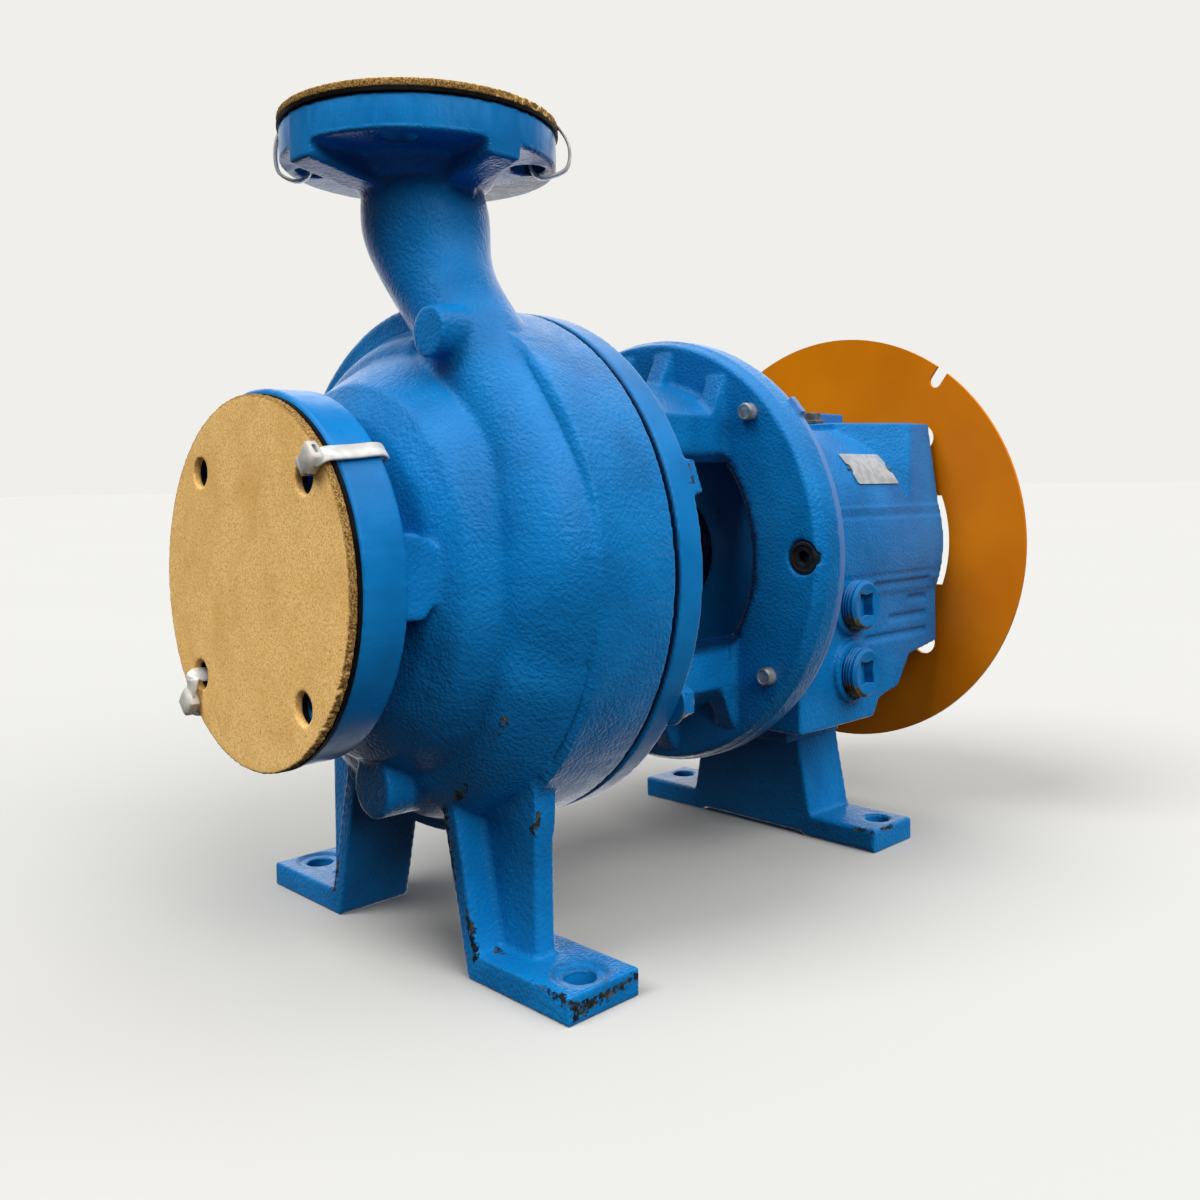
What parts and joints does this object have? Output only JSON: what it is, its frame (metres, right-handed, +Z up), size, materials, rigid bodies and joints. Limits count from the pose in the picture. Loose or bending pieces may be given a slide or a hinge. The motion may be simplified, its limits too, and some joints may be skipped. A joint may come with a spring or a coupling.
{
  "type": "centrifugal process pump",
  "caption": "Horizontal end suction process pump with volute casing, open adapter, bearing frame, foot, shaft end and covered flanges.",
  "frame": {"origin": "on the base plane, midway between the two bolt holes of the casing feet", "axes": "+Z up, +Y along the shaft toward the coupling end, -Y toward the suction flange"},
  "size_m": [0.3216, 0.6035, 0.4575],
  "materials": {
    "blue_casting": "gloss enamel brushed and sprayed over rough iron castings, chipped at the feet",
    "orange_plate": "orange enamel on laser cut steel plate",
    "fibreboard": "pressed fibreboard, speckled face and rough cut brown edge",
    "rubber_sheet": "black sheet rubber, cut edge",
    "machined_steel": "turned steel",
    "black_iron": "oiled black iron pipe plugs with traces of blue paint",
    "brass": "turned brass",
    "bronze": "turned bronze",
    "window_glass": "clear glass"
  },
  "bodies": {
    "root": {"casing": "blue_casting", "suction_gasket": "rubber_sheet", "suction_cover": "fibreboard", "discharge_gasket": "rubber_sheet", "discharge_cover": "fibreboard", "seal_chamber": "blue_casting", "seal_gland": "machined_steel", "shaft_sleeve": "machined_steel", "pump_shaft": "machined_steel", "frame_adapter": "blue_casting", "adapter_plug_right": "black_iron", "adapter_plug_left": "black_iron", "bearing_frame": "blue_casting", "upper_right_plug": "black_iron", "lower_right_plug": "black_iron", "lower_left_plug": "black_iron", "sight_glass_bezel": "brass", "sight_glass_pane": "window_glass", "oil_filler_plug": "black_iron", "inboard_oil_seal": "bronze", "outboard_oil_seal": "bronze", "bearing_housing": "blue_casting", "guard_plate": "orange_plate", "frame_foot": "blue_casting"}
  },
  "joints": []
}
